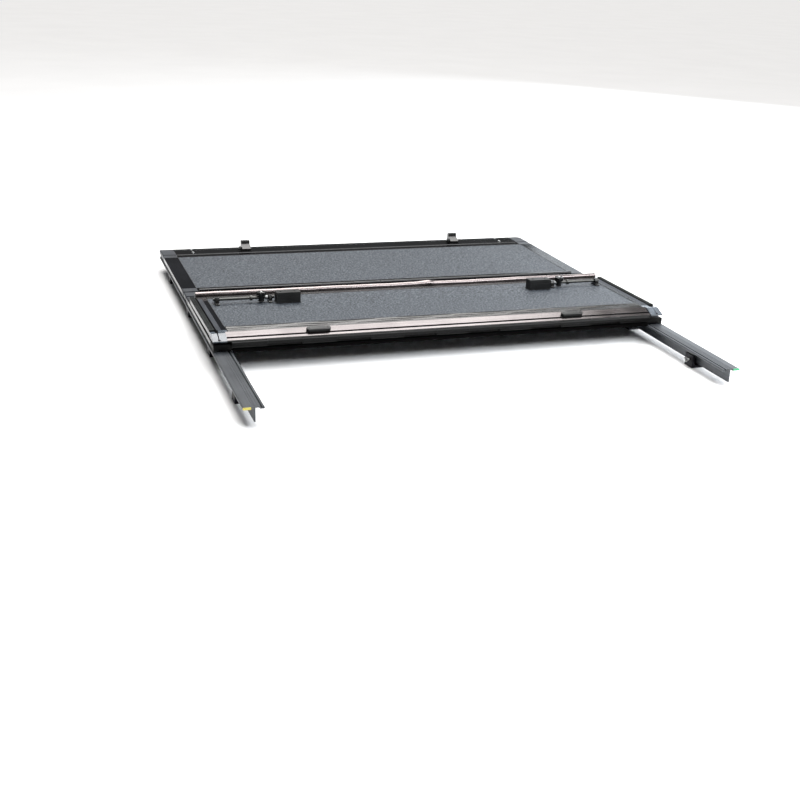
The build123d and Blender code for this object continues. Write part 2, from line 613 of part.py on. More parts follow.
def latch_guide(span, half_base):
    """Right post that guides a latch rod."""
    tip = LATCH_Z - 9
    outline = [(LATCH_Y - half_base, SKIN_SINK), (LATCH_Y + half_base, SKIN_SINK)]
    outline += [(LATCH_Y + half_base, GUIDE_FOOT_Z), (LATCH_Y + GUIDE_TIP_HALF, tip)]
    outline += [(LATCH_Y - GUIDE_TIP_HALF, tip), (LATCH_Y - half_base, GUIDE_FOOT_Z)]
    post = prism_x(outline, *span)
    return post - rod_x(ROD_HOLE_R, span[0] - 1, span[1] + 1, LATCH_Y, LATCH_Z)


def latch_rod():
    """Right slide bolt with a collar and a pointed tip."""
    rod = rod_x(ROD_R, ROD_IN, ROD_OUT, LATCH_Y, LATCH_Z)
    tip = rod.faces().sort_by(Axis.X)[-1].edges()
    rod = chamfer(tip, ROD_TIP)
    return rod + rod_x(COLLAR_R, *COLLAR_X, LATCH_Y, LATCH_Z)


def latch_knob():
    """Right star knob on a neck that is fixed on the rod."""
    low, high = KNOB_Z
    knob = rod_z(KNOB_R, KNOB_X, LATCH_Y, low, high)
    for index in range(KNOB_LOBES):
        turn = 2 * math.pi * (index + 0.5) / KNOB_LOBES
        x = KNOB_X + KNOB_NOTCH_AT * math.cos(turn)
        y = LATCH_Y + KNOB_NOTCH_AT * math.sin(turn)
        knob -= rod_z(KNOB_NOTCH_R, x, y, low - 2, high + 2)
    knob += rod_z(KNOB_NECK_R, KNOB_X, LATCH_Y, high, GUIDE_FOOT_Z)
    return knob - rod_x(ROD_R, KNOB_X - 20, KNOB_X + 20, LATCH_Y, LATCH_Z)


def save_rear_panel():
    skin_end = TAILGATE_Y + TAILGATE_W
    cap_start = SLOPE_Y - HINGE_CAP_W
    save_skins("rear_panel", skin_end, HINGE_MEMBER_Y, fold_rear)
    save_sides("rear_panel", skin_end, cap_start, fold_rear)
    save("rear_panel_hinge_rail", fold_rear(rear_hinge_member()))
    save("rear_panel_tailgate_rail", fold_rear(tailgate_rail()))
    save("rear_panel_hinge_caps", fold_rear(both_sides(rear_hinge_cap())))
    save("rear_panel_tailgate_caps", fold_rear(both_sides(tailgate_cap())))
    save("rear_panel_side_seals", fold_rear(both_sides(side_seal(TAILGATE_Y + 7, cap_start, SEAL_DROP))))
    save("tailgate_bulb_seal", fold_rear(bulb_seal()))
    save("bumper_blocks", fold_rear(both_sides(bumper_block())))
    save("rest_pads", fold_rear(both_sides(rest_pad())))
    save("latch_outer_guides", fold_rear(both_sides(latch_guide(OUTER_GUIDE, OUTER_GUIDE_HALF))))
    save("latch_inner_guides", fold_rear(both_sides(latch_guide(INNER_GUIDE, INNER_GUIDE_HALF))))
    for side, place in (("right", place_as_built), ("left", other_side)):
        save(f"{side}_latch_rod", fold_rear(place(latch_rod())))
        save(f"{side}_latch_knob", fold_rear(place(latch_knob())))


os.makedirs("parts", exist_ok=True)
save_rails_and_clamps()
save_front_panel()
save_hinge_link()
save_middle_panel()
save_rear_panel()
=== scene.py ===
import json
import math
import bmesh
import bpy
from mathutils import Matrix, Vector


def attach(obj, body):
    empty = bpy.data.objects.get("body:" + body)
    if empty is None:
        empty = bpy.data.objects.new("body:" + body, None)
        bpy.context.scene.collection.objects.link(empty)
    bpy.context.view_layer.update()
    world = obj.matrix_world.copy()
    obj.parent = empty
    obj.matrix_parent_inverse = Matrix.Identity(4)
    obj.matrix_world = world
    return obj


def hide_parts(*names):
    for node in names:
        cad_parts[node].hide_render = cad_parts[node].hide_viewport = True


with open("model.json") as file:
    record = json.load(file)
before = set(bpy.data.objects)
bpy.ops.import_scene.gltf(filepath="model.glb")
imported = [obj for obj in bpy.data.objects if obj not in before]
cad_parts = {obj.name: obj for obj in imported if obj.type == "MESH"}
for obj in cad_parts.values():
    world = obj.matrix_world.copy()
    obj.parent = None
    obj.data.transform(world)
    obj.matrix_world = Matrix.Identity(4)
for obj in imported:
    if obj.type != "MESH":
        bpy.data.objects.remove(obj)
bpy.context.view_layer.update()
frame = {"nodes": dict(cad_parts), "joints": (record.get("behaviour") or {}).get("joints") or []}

# Lengths are in millimetres on the CAD source's own grid: heights from the closed panels' underside.
MM = 0.001
SEAT_Z = 62.0
ORIGIN_Y = 27.5
PANEL_T = 20.0
PANEL_HALF = 797.0
SKIN_HALF = 743.0
SKIN_SINK = 0.6
SEAL_INNER = 778.5
SEAL_SEAT = 4.0
SEAL_DROP = 2.6
FRONT_SEAL_DROP = 3.0
NOTCH_PITCH = 9.0
NOTCH_W = 2.6
NOTCH_DEPTH = 1.3
STRIP_GAP = 2.5
SEAL_GAP_SHADE_X = 775.8

# Panels along Y, the rear one lying flat
FRONT_SKIN = (294.0, 745.0)
MIDDLE_SKIN = (-310.0, 145.0)
REAR_SKIN = (-818.0, -480.0)
FRONT_SEAL = (253.0, 860.0)
MIDDLE_SEAL = (-364.0, 186.0)
REAR_SEAL = (-845.0, -445.0)
SLOPE_Y = -425.0
NOSE_Y = -378.0
SLOPE_RISE = 17.0
SLOPE_HALF = 751.5
GROOVE_Y = (-398.8, -390.7)
BAND_X = (759.2, 775.3)
CAP_GAP_X = (771.5, 780.5)
TAILGATE_RIBS_Y = ((-842.0, -833.5), (-829.0, -820.5))
RIB_PITCH = 17.0

# Latches, bumpers, pads, brackets, screws and seal. Guides are (inner x, outer x, half their foot's length),
# and screw places are (y, height).
LATCH_Y = -745.0
LATCH_Z = -16.0
ROD_R = 5.0
KNOB_X = 566.0
BLOCK_X = 476.0
BLOCK_Y = -733.0
BLOCK_SIZE = (84.0, 36.0, 38.0)
PAD_X = 452.0
PAD_SIZE = (82.0, 21.0, 12.0)
OUTER_GUIDE = (713.0, 727.0, 22.0)
INNER_GUIDE = (530.0, 542.0, 18.0)
BRACKET_X = 455.0
BRACKET_Y = 800.0
BRACKET_W = 36.0
SCREW_X = 672.0
SCREW_PLACES = ((815.0, 20.0), (862.0, 18.6))
BULB_Y = -858.0
BULB_Z = -4.0
BULB_R = 10.5
BULB_HALF = 775.0
PUCKER_X = 88.0
CLAMP_YS = (-640.0, -215.0, 225.0, 680.0)
CLAMP_SCREW_X = 727.0
CLAMP_SCREW_Z = -38.0
CLAMP_FOOT_X = 764.0
THREAD_PITCH = 1.25

CREASE_ANGLE = math.radians(32)

# The rear panel's pieces are made lying flat and folded with it about its hinge pin.
rear_joint = next(joint for joint in frame["joints"] if joint["name"] == "rear_panel_fold")
REAR_PIN = Vector(rear_joint["pos_m"])
FOLD_ANGLE = math.radians(-180.8)
FOLD = Matrix.Translation(REAR_PIN) @ Matrix.Rotation(FOLD_ANGLE, 4, "X") @ Matrix.Translation(-REAR_PIN)


# Materials

def linear(red, green, blue):
    """Display colour, 0 to 255, as a linear RGBA value."""
    def channel(value):
        value /= 255
        return value / 12.92 if value <= 0.04045 else ((value + 0.055) / 1.055) ** 2.4
    return (channel(red), channel(green), channel(blue), 1.0)


class Recipe:
    """A node material written with short calls."""

    def __init__(self, name, **uniform):
        self.material = bpy.data.materials.new(name)
        self.material.use_nodes = True
        self.tree = self.material.node_tree
        self.shader = self.tree.nodes["Principled BSDF"]
        for socket, value in uniform.items():
            self.shader.inputs[socket.replace("_", " ")].default_value = value
        self.coords = self.tree.nodes.new("ShaderNodeTexCoord").outputs["Object"]

    def link(self, source, socket):
        self.tree.links.new(source, socket)

    def stretched(self, scale):
        """Object coordinates scaled along each axis."""
        mapping = self.tree.nodes.new("ShaderNodeMapping")
        mapping.inputs["Scale"].default_value = scale
        self.link(self.coords, mapping.inputs["Vector"])
        return mapping.outputs["Vector"]

    def noise(self, scale, detail=4.0, rough=0.55, vector=None):
        node = self.tree.nodes.new("ShaderNodeTexNoise")
        node.inputs["Scale"].default_value = scale
        node.inputs["Detail"].default_value = detail
        node.inputs["Roughness"].default_value = rough
        self.link(vector or self.coords, node.inputs["Vector"])
        return node.outputs["Fac"]

    def cells(self, scale, feature="F1"):
        node = self.tree.nodes.new("ShaderNodeTexVoronoi")
        node.feature = feature
        node.inputs["Scale"].default_value = scale
        self.link(self.coords, node.inputs["Vector"])
        return node.outputs["Distance"]

    def spread(self, source, low, high, to_low, to_high):
        """Map a range of one value to another, held at its ends."""
        node = self.tree.nodes.new("ShaderNodeMapRange")
        limits = {"From Min": low, "From Max": high, "To Min": to_low, "To Max": to_high}
        for socket, value in limits.items():
            node.inputs[socket].default_value = value
        self.link(source, node.inputs["Value"])
        return node.outputs["Result"]

    def math(self, operation, first, second):
        node = self.tree.nodes.new("ShaderNodeMath")
        node.operation = operation
        for socket, value in zip(node.inputs, (first, second)):
            if isinstance(value, (int, float)):
                socket.default_value = value
            else:
                self.link(value, socket)
        return node.outputs["Value"]

    def ramp(self, source, *stops):
        """Colours along a value; each stop is (place, colour)."""
        node = self.tree.nodes.new("ShaderNodeValToRGB")
        elements = node.color_ramp.elements
        while len(elements) < len(stops):
            elements.new(0.5)
        for element, (place, colour) in zip(elements, stops):
            element.position = place
            element.color = colour
        self.link(source, node.inputs["Fac"])
        return node.outputs["Color"]

    def mix(self, factor, first, second):
        node = self.tree.nodes.new("ShaderNodeMix")
        node.data_type = "RGBA"
        self.link(factor, node.inputs["Factor"])
        for socket, value in ((node.inputs[6], first), (node.inputs[7], second)):
            if isinstance(value, tuple):
                socket.default_value = value
            else:
                self.link(value, socket)
        return node.outputs[2]

    def bump(self, height, strength, distance):
        node = self.tree.nodes.new("ShaderNodeBump")
        node.inputs["Strength"].default_value = strength
        node.inputs["Distance"].default_value = distance
        self.link(height, node.inputs["Height"])
        self.link(node.outputs["Normal"], self.shader.inputs["Normal"])

    def colour(self, source):
        self.link(source, self.shader.inputs["Base Color"])

    def roughness(self, source):
        self.link(source, self.shader.inputs["Roughness"])


def panel_skin():
    """Textured skin: a coarse pebbled grain with pale flecks and soft clouding."""
    made = Recipe("panel_skin", Specular_IOR_Level=0.35)
    coarse = made.noise(150.0, 2.0, 0.7)
    fine = made.noise(420.0, 3.0, 0.7)
    flecks = made.cells(230.0)
    cloud = made.noise(2.4, 3.0)
    grain = made.math("ADD", made.math("MULTIPLY", coarse, 0.6), made.math("MULTIPLY", fine, 0.4))
    tone = made.ramp(grain,
                     (0.38, linear(14, 18, 24)),
                     (0.5, linear(45, 51, 58)),
                     (0.62, linear(100, 107, 114)))
    tone = made.mix(made.spread(flecks, 0.05, 0.3, 0.8, 0.0), tone, linear(132, 137, 142))
    made.colour(made.mix(made.spread(cloud, 0.35, 0.7, 0.0, 0.25), tone, linear(46, 51, 58)))
    made.roughness(made.spread(grain, 0.4, 0.6, 0.66, 0.46))
    made.bump(made.math("ADD", made.cells(240.0, "SMOOTH_F1"), grain), 0.55, 0.0009)
    return made.material


def extruded(name, axis, dark, light, rough, metallic=0.0, lines=0.12, level=0.5):
    """Finish on an extruded member: faint die lines along its length, specks and soft clouding."""
    made = Recipe(name, Metallic=metallic, Specular_IOR_Level=level)
    along = [900.0, 900.0, 900.0]
    along["XYZ".index(axis)] = 4.0
    streaks = made.noise(1.0, 3.0, 0.5, made.stretched(along))
    specks = made.noise(1400.0, 2.0, 0.5)
    cloud = made.noise(7.0, 4.0)
    mixed = made.math("ADD", made.math("MULTIPLY", streaks, 0.55), made.math("MULTIPLY", cloud, 0.45))
    made.colour(made.ramp(mixed, (0.40, dark), (0.60, light)))
    made.roughness(made.spread(made.math("ADD", cloud, specks), 0.7, 1.3, rough - 0.05, rough + 0.07))
    made.bump(made.math("ADD", streaks, made.math("MULTIPLY", specks, 0.5)), lines, 0.0003)
    return made.material


def moulded(name, dark, light, rough):
    """Moulded plastic: finely grained, slightly blotched, with a few pale scuffs."""
    made = Recipe(name)
    fine = made.noise(600.0, 4.0, 0.6)
    blotch = made.noise(18.0, 4.0)
    scuff = made.noise(1.0, 3.0, 0.6, made.stretched((90.0, 260.0, 140.0)))
    tone = made.ramp(blotch, (0.38, dark), (0.62, light))
    made.colour(made.mix(made.spread(scuff, 0.62, 0.76, 0.0, 0.4), tone, light))
    made.roughness(made.spread(fine, 0.3, 0.7, rough + 0.08, rough - 0.06))
    made.bump(fine, 0.25, 0.0004)
    return made.material


def rubber(name, dark, light, rough, dust, **uniform):
    """Rubber with a matt bloom of pale dust."""
    made = Recipe(name, **uniform)
    fine = made.noise(900.0, 3.0, 0.6)
    patches = made.noise(14.0, 5.0, 0.6)
    tone = made.ramp(patches, (0.38, dark), (0.64, light))
    bloom = made.spread(made.math("MULTIPLY", patches, fine), 0.22, 0.38, 0.0, dust)
    made.colour(made.mix(bloom, tone, linear(110, 112, 114)))
    made.roughness(made.spread(patches, 0.3, 0.7, rough - 0.06, rough + 0.08))
    made.bump(fine, 0.18, 0.0003)
    return made.material


def plated(name, dark, light, rough):
    """Plated or bare steel with fine scratches and dull spots."""
    made = Recipe(name, Metallic=1.0)
    scratches = made.noise(1.0, 2.0, 0.5, made.stretched((700.0, 700.0, 700.0)))
    dull = made.noise(120.0, 4.0, 0.6)
    tone = made.ramp(scratches, (0.40, dark), (0.60, light))
    made.colour(made.mix(made.spread(dull, 0.52, 0.68, 0.0, 0.15), tone, dark))
    made.roughness(made.spread(dull, 0.3, 0.7, rough - 0.05, rough + 0.12))
    made.bump(scratches, 0.05, 0.0001)
    return made.material


def foam(name, dark, light):
    """Foam with open pores."""
    made = Recipe(name, Roughness=0.9)
    pores = made.cells(900.0)
    cloud = made.noise(30.0, 3.0)
    tone = made.ramp(cloud, (0.38, dark), (0.62, light))
    made.colour(made.mix(made.spread(pores, 0.05, 0.3, 0.6, 0.0), tone, dark))
    made.bump(pores, 0.5, 0.0008)
    return made.material


MATERIALS = {
    "panel_skin": panel_skin(),
    "rail_aluminium": extruded("rail_aluminium", "Y", linear(52, 55, 59), linear(74, 77, 81), 0.4,
                               metallic=0.3, lines=0.2),
    "black_frame_y": extruded("black_frame_y", "Y", linear(9, 11, 15), linear(16, 18, 23), 0.14, level=0.36),
    "black_frame_x": extruded("black_frame_x", "X", linear(8, 9, 11), linear(15, 16, 18), 0.14, level=0.36),
    "bright_frame": extruded("bright_frame", "X", linear(76, 72, 72), linear(94, 90, 90), 0.16,
                             metallic=0.85, lines=0.06),
    "band_frame_y": extruded("band_frame_y", "Y", linear(44, 47, 52), linear(64, 67, 72), 0.55,
                             lines=0.3, level=0.12),
    "rib_frame_x": extruded("rib_frame_x", "X", linear(36, 36, 36), linear(62, 61, 60), 0.24,
                            metallic=0.5, lines=0.3),
    # Near-black, barely reflective frame finish for members in the shadow under the folded stack: painted
    # shade.
    "painted_shade_frame_x": extruded("painted_shade_frame_x", "X", linear(3, 3, 3), linear(8, 8, 8), 0.5, level=0.15),
    "bracket_metal": extruded("bracket_metal", "X", linear(7, 7, 7), linear(14, 14, 13), 0.24, metallic=0.1),
    "grey_cap_plastic": moulded("grey_cap_plastic", linear(34, 37, 42), linear(48, 52, 58), 0.4),
    # Lighter, bluer copy of the cap plastic for the rear panel's hinge caps: painted sheen.
    "hinge_cap_painted_sheen": moulded("hinge_cap_painted_sheen", linear(68, 74, 81), linear(92, 99, 107), 0.24),
    "black_plastic": moulded("black_plastic", linear(5, 5, 5), linear(11, 11, 11), 0.34),
    "knob_plastic": moulded("knob_plastic", linear(5, 5, 5), linear(10, 10, 10), 0.28),
    "yellow_plug": moulded("yellow_plug", linear(190, 176, 66), linear(222, 208, 104), 0.4),
    "green_plug": moulded("green_plug", linear(38, 140, 92), linear(66, 176, 120), 0.4),
    "black_rubber": rubber("black_rubber", linear(6, 6, 6), linear(13, 13, 12), 0.5, 0.06),
    "seal_rubber": rubber("seal_rubber", linear(10, 13, 13), linear(26, 30, 29), 0.62, 0.1,
                          Specular_IOR_Level=0.2),
    # Black with almost no reflection for gaps, grooves and the hinge seal under the stack: painted shade.
    "painted_shade_black": rubber("painted_shade_black", linear(0, 0, 0), linear(4, 4, 4), 0.9, 0.0, Specular_IOR_Level=0.05),
    "bulb_rubber": rubber("bulb_rubber", linear(12, 9, 8), linear(26, 20, 18), 0.24, 0.02,
                          IOR=2.6, Specular_Tint=linear(255, 240, 238)),
    "clamp_metal": plated("clamp_metal", linear(22, 22, 24), linear(44, 44, 47), 0.4),
    "zinc_steel": plated("zinc_steel", linear(130, 132, 132), linear(196, 197, 196), 0.26),
    "pin_steel": plated("pin_steel", linear(70, 70, 70), linear(110, 110, 110), 0.3),
    "latch_rod_steel": plated("latch_rod_steel", linear(64, 64, 62), linear(96, 96, 94), 0.34),
    "foam_core": foam("foam_core", linear(150, 145, 130), linear(180, 174, 158)),
    "foam_tape": foam("foam_tape", linear(14, 14, 15), linear(24, 24, 26)),
}
# Nodes in the shadow under the rear panel's nose get near-black finishes, painted shade; the rear panel's
# hinge caps get a lighter, bluer plastic, painted sheen.
NODE_MATERIAL = {
    "rear_panel_hinge_rail": "painted_shade_frame_x",
    "rear_panel_hinge_caps": "hinge_cap_painted_sheen",
    "middle_panel_rear_rail": "painted_shade_frame_x",
    "middle_panel_rear_caps": "painted_shade_frame_x",
    "middle_panel_hinge_seal": "painted_shade_black",
    "rear_hinge_pin": "painted_shade_frame_x",
}
SLOT_MATERIAL = {"side_rail_aluminium": "rail_aluminium", "black_frame": "black_frame_x"}


def finish_of(node):
    """Material for a CAD node: its own or that of its slot, with members along Y lined along Y."""
    if node in NODE_MATERIAL:
        return MATERIALS[NODE_MATERIAL[node]]
    slot = frame["nodes"][node].material_slots[0].material.name
    if slot == "black_frame" and node.endswith(("_right_rail", "_left_rail")):
        return MATERIALS["black_frame_y"]
    return MATERIALS[SLOT_MATERIAL.get(slot, slot)]


for node_name, node in frame["nodes"].items():
    finish = finish_of(node_name)
    for material_slot in node.material_slots:
        material_slot.material = finish


# Mesh building

AXES = {"X": (Vector((1, 0, 0)), Vector((0, 1, 0)), Vector((0, 0, 1))),
        "Z": (Vector((0, 0, 1)), Vector((1, 0, 0)), Vector((0, 1, 0)))}


class Piece:
    """A mesh being built, in millimetres on the CAD source's grid."""

    def __init__(self):
        self.mesh = bmesh.new()

    def rings(self, rings):
        """Skin a row of closed rings of points, with both ends filled."""
        rows = [[self.mesh.verts.new(point) for point in ring] for ring in rings]
        for row, following in zip(rows, rows[1:]):
            for index in range(len(row)):
                after = (index + 1) % len(row)
                self.mesh.faces.new((row[index], row[after], following[after], following[index]))
        self.mesh.faces.new(rows[0][::-1])
        self.mesh.faces.new(rows[-1])
        return [vertex for row in rows for vertex in row]

    def prism(self, axis, outline, start, end):
        """Outline run along X, with (y, z) points, or along Y, with (x, z) points."""
        def place(point, at):
            return (at, *point) if axis == "X" else (point[0], at, point[1])
        return self.rings([[place(point, at) for point in outline] for at in (start, end)])

    def box(self, x0, x1, y0, y1, z0, z1):
        return self.prism("X", [(y0, z0), (y1, z0), (y1, z1), (y0, z1)], x0, x1)

    def turned(self, axis, centre, profile, sides=24, shape=None):
        """Profile of (distance along the axis, radius) points turned about it.

        The shape, if given, scales each radius by its angle.
        """
        along, first, second = AXES[axis]
        centre = Vector(centre)
        rings = []
        for distance, radius in profile:
            ring = []
            for index in range(sides):
                angle = 2 * math.pi * index / sides
                reach = radius * (shape(angle) if shape else 1.0)
                spoke = math.cos(angle) * first + math.sin(angle) * second
                ring.append(centre + along * distance + reach * spoke)
            rings.append(ring)
        return self.rings(rings)

    def transform(self, vertices, matrix):
        bmesh.ops.transform(self.mesh, matrix=matrix, verts=vertices)

    def other_side(self):
        """Add the mirror image of everything so far."""
        everything = self.mesh.verts[:] + self.mesh.edges[:] + self.mesh.faces[:]
        copied = bmesh.ops.duplicate(self.mesh, geom=everything)
        vertices = [item for item in copied["geom"] if isinstance(item, bmesh.types.BMVert)]
        bmesh.ops.scale(self.mesh, vec=(-1, 1, 1), verts=vertices)
        faces = [item for item in copied["geom"] if isinstance(item, bmesh.types.BMFace)]
        bmesh.ops.reverse_faces(self.mesh, faces=faces)
        return self

    def finish(self, name, material, body, slot, bevel=0.0, folded=False, replaces=(), steps=2):
        """Carry the mesh to the shared frame and hang it on its body."""
        bmesh.ops.recalc_face_normals(self.mesh, faces=self.mesh.faces)
        to_frame = Matrix.Scale(MM, 4) @ Matrix.Translation((0, -ORIGIN_Y, SEAT_Z))
        self.mesh.transform((FOLD if folded else Matrix.Identity(4)) @ to_frame)
        data = bpy.data.meshes.new(name)
        self.mesh.to_mesh(data)
        self.mesh.free()
        data.materials.append(MATERIALS[material])
        data.shade_smooth()
        data.set_sharp_from_angle(angle=CREASE_ANGLE)
        made = bpy.data.objects.new(name, data)
        bpy.context.scene.collection.objects.link(made)
        if bevel:
            rounding = made.modifiers.new("rounding", "BEVEL")
            rounding.width = bevel * MM
            rounding.segments = steps
            rounding.limit_method = "ANGLE"
            rounding.angle_limit = CREASE_ANGLE
            rounding.harden_normals = True
        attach(made, body)
        if replaces:
            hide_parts(*replaces)


def dome_head(piece, centre, radius, height, outward=1):
    """Domed screw head with a washer under it and a round recess."""
    washer = [(0.0, radius * 1.35), (0.5, radius * 1.4), (1.0, radius * 1.35), (1.0, radius)]
    dome = [(1.0 + height * 0.45, radius * 0.97), (1.0 + height * 0.8, radius * 0.8)]
    dome += [(1.0 + height, radius * 0.5), (1.0 + height, radius * 0.42)]
    recess = [(1.0 + height * 0.45, radius * 0.4)]
    profile = washer + dome + recess
    piece.turned("Z", centre, [(outward * distance, reach) for distance, reach in profile])


def smooth_bell(value, centre, width_below, width_above):
    """Bell curve with its own width on each side."""
    width = width_below if value < centre else width_above
    return math.exp(-((value - centre) / width) ** 2)


def slope_level(y):
    """Height of the rear panel's slope."""
    return SLOPE_RISE * (y - SLOPE_Y) / (NOSE_Y - SLOPE_Y)


# Seals

def notched_seal(name, node, span, drop, body, folded=False):
    """Rubber strips under a panel's edges, with two ribs along them and notches across."""
    width = PANEL_HALF - SEAL_INNER - STRIP_GAP

    def section(bottom, y):
        ribs = [(0.0, SEAL_SEAT), (0.0, -bottom + 1.0), (1.5, -bottom), (5.6, -bottom), (6.2, -bottom + 1.5)]
        ribs += [(8.2, -bottom + 1.5), (8.8, -bottom), (width - 1.5, -bottom), (width, -bottom + 1.0)]
        ribs += [(width, SEAL_SEAT)]
        return [(SEAL_INNER + STRIP_GAP + x, y, z) for x, z in ribs]

    start, end = span
    count = int((end - start) / NOTCH_PITCH)
    pitch = (end - start) / count
    rings = []
    for index in range(count):
        y = start + index * pitch
        notch = drop - NOTCH_DEPTH
        rings += [section(drop, y), section(drop, y + pitch - NOTCH_W)]
        rings += [section(notch, y + pitch - NOTCH_W + 0.3), section(notch, y + pitch - 0.3)]
    rings.append(section(drop, end))
    piece = Piece()
    piece.rings(rings)
    piece.other_side().finish(name, "seal_rubber", body, "black_rubber", folded=folded,
                              replaces=(node,))
    # Black strip filling the gap between the panel's edge and the seal strips: painted shade.
    seal_gap_shade = Piece()
    seal_gap_shade.box(SEAL_GAP_SHADE_X, SEAL_INNER + STRIP_GAP + 0.3, start, end, 2.6, SEAL_SEAT - 0.1)
    seal_gap_shade.other_side().finish(name + "_liner", "painted_shade_black", body, "black_rubber", folded=folded)


def bulb_seal():
    """Round seal along the free edge: it wanders a little, and puckers where its two lengths meet."""
    rings = []
    sides, count = 24, 260
    for index in range(count + 1):
        x = -BULB_HALF + 2 * BULB_HALF * index / count
        pucker = smooth_bell(x, PUCKER_X, 34.0, 14.0)
        slack = 0.35 * math.sin(x / 61.0) + 0.25 * math.sin(x / 23.0 + 1.0)
        tight = smooth_bell(x, PUCKER_X + 60.0, 40.0, 150.0)
        lift = slack + 3.6 * pucker - 0.5 * tight
        ring = []
        for side in range(sides):
            angle = 2 * math.pi * side / sides
            radius = BULB_R + 0.8 * pucker * math.cos(3 * angle) - 0.5 * tight
            ring.append((x, BULB_Y + radius * math.cos(angle), BULB_Z - lift + radius * math.sin(angle)))
        rings.append(ring)
    piece = Piece()
    piece.rings(rings)
    tongue = [(BULB_Y + 3.0, 1.4), (BULB_Y + 10.0, 1.4), (BULB_Y + 10.0, 5.0), (BULB_Y + 4.0, 5.0)]
    piece.prism("X", tongue, -BULB_HALF, BULB_HALF)
    piece.finish("bulb_seal_tube", "bulb_rubber", "rear_panel", "bulb_rubber", folded=True,
                 replaces=("tailgate_bulb_seal",))
    plugs = Piece()
    for end in (-1, 1):
        profile = [(0.0, 8.0), (1.2, 8.0), (1.2, 10.2), (2.4, 10.0), (3.0, 9.0), (3.0, 2.4), (1.8, 2.2)]
        plugs.turned("X", (end * (BULB_HALF - 1.2), BULB_Y, BULB_Z), [(end * at, r) for at, r in profile])
    plugs.finish("bulb_seal_plugs", "black_plastic", "rear_panel", "black_plastic", folded=True)


def edge_bead(name, spans, level, outward, body, folded=False):
    """Thin gasket round a skin, where it meets its frame."""
    half, top = 1.3, level + outward * 1.1
    piece = Piece()

    def section(middle):
        foot = [(middle - half, level), (middle + half, level)]
        return foot + [(middle + half * 0.5, top), (middle - half * 0.5, top)]

    for y in spans:
        piece.prism("X", section(y), -SKIN_HALF - half, SKIN_HALF + half)
    for x in (-SKIN_HALF, SKIN_HALF):
        piece.prism("Y", section(x), spans[0] + half, spans[1] - half)
    piece.finish(name, "black_rubber", body, "black_rubber", folded=folded)


notched_seal("front_seal_strips", "front_panel_side_seals", FRONT_SEAL, FRONT_SEAL_DROP, "frame")
notched_seal("middle_seal_strips", "middle_panel_side_seals", MIDDLE_SEAL, SEAL_DROP, "middle_panel")
notched_seal("rear_seal_strips", "rear_panel_side_seals", REAR_SEAL, SEAL_DROP, "rear_panel", folded=True)
bulb_seal()
for panel, spans, body, folded in (("front", FRONT_SKIN, "frame", False),
                                   ("middle", MIDDLE_SKIN, "middle_panel", False),
                                   ("rear", REAR_SKIN, "rear_panel", True)):
    edge_bead(f"{panel}_top_bead", spans, PANEL_T - SKIN_SINK, 1, body, folded)
    edge_bead(f"{panel}_bottom_bead", spans, SKIN_SINK, -1, body, folded)


# Faces of the rear panel's members

def side_bands():
    """Raised satin bands along the rear panel's side members, with a bevel on each side."""
    piece = Piece()
    inner, outer = BAND_X
    section = [(inner, 0.2), (inner + 1.0, -0.8), (outer - 1.1, -0.8), (outer, 0.2)]
    piece.prism("Y", section, REAR_SKIN[0] + 1.0, REAR_SEAL[1] - 1.0)
    piece.other_side().finish("side_bands", "band_frame_y", "rear_panel", "black_frame", bevel=0.3,
                              folded=True)


def hinge_member_ribs():
    """Low ribs along the flat part of the rear panel's hinge member, rising and falling slightly."""
    piece, count = Piece(), 120
    for index in range(3):
        middle = REAR_SKIN[1] + 13.0 + index * RIB_PITCH
        rings = []
        for step in range(count + 1):
            x = -SKIN_HALF + 2 + (2 * SKIN_HALF - 4) * step / count
            crest = -2.3 - 0.7 * math.sin(x / 43.0 + index * 1.7)
            sway = 1.2 * math.sin(x / 71.0 + index)
            section = [(-4.5, 0.4), (-3.5, crest * 0.85), (-1.5, crest), (5.5, 0.0), (6.0, 0.4)]
            rings.append([(x, middle + sway + across, level) for across, level in section])
        piece.rings(rings)
    piece.finish("hinge_member_ribs", "rib_frame_x", "rear_panel", "bright_frame", folded=True)


def slope_faces():
    """Bright faces of the hinge member: the slope, and the nose beyond its groove."""
    piece = Piece()
    slope_end, nose_start = GROOVE_Y[0] + 0.3, GROOVE_Y[1] - 0.3
    for y0, y1 in ((SLOPE_Y + 0.4, slope_end), (nose_start, NOSE_Y - 3.0)):
        start, end = slope_level(y0), slope_level(y1)
        section = [(y0, start + 0.3), (y0 + 0.4, start - 0.6), (y1 - 0.4, end - 0.6), (y1, end + 0.3)]
        piece.prism("X", section, -SLOPE_HALF, SLOPE_HALF)
    piece.finish("slope_faces", "bright_frame", "rear_panel", "bright_frame", bevel=0.2, folded=True)


def nose_groove_shade():
    """Black strip in the groove between the slope and the nose: painted shade for the groove's dark recess.
    """
    piece = Piece()
    y0, y1 = GROOVE_Y
    corners = ((y0, 0.2), (y1, 0.2), (y1, -0.2), (y0, -0.2))
    section = [(y, slope_level(y) + offset) for y, offset in corners]
    piece.prism("X", section, -SLOPE_HALF + 0.5, SLOPE_HALF - 0.5)
    piece.finish("nose_groove_shade", "painted_shade_black", "rear_panel", "black_rubber", folded=True)


def cap_gap_shade():
    """Black strip over the groove of each hinge cap, following its slope: painted shade for the groove's
    shadow.
    """
    start, lift = SLOPE_Y - 20.0, 0.5
    top = [(start, -lift), (SLOPE_Y, -lift), (NOSE_Y - 2.0, SLOPE_RISE - 1.8 - lift)]
    outline = top + [(y, z + 2.0) for y, z in reversed(top)]
    piece = Piece()
    piece.prism("X", outline, *CAP_GAP_X)
    piece.other_side().finish("cap_gap_shade", "painted_shade_black", "rear_panel", "black_rubber", bevel=0.3,
                              folded=True)


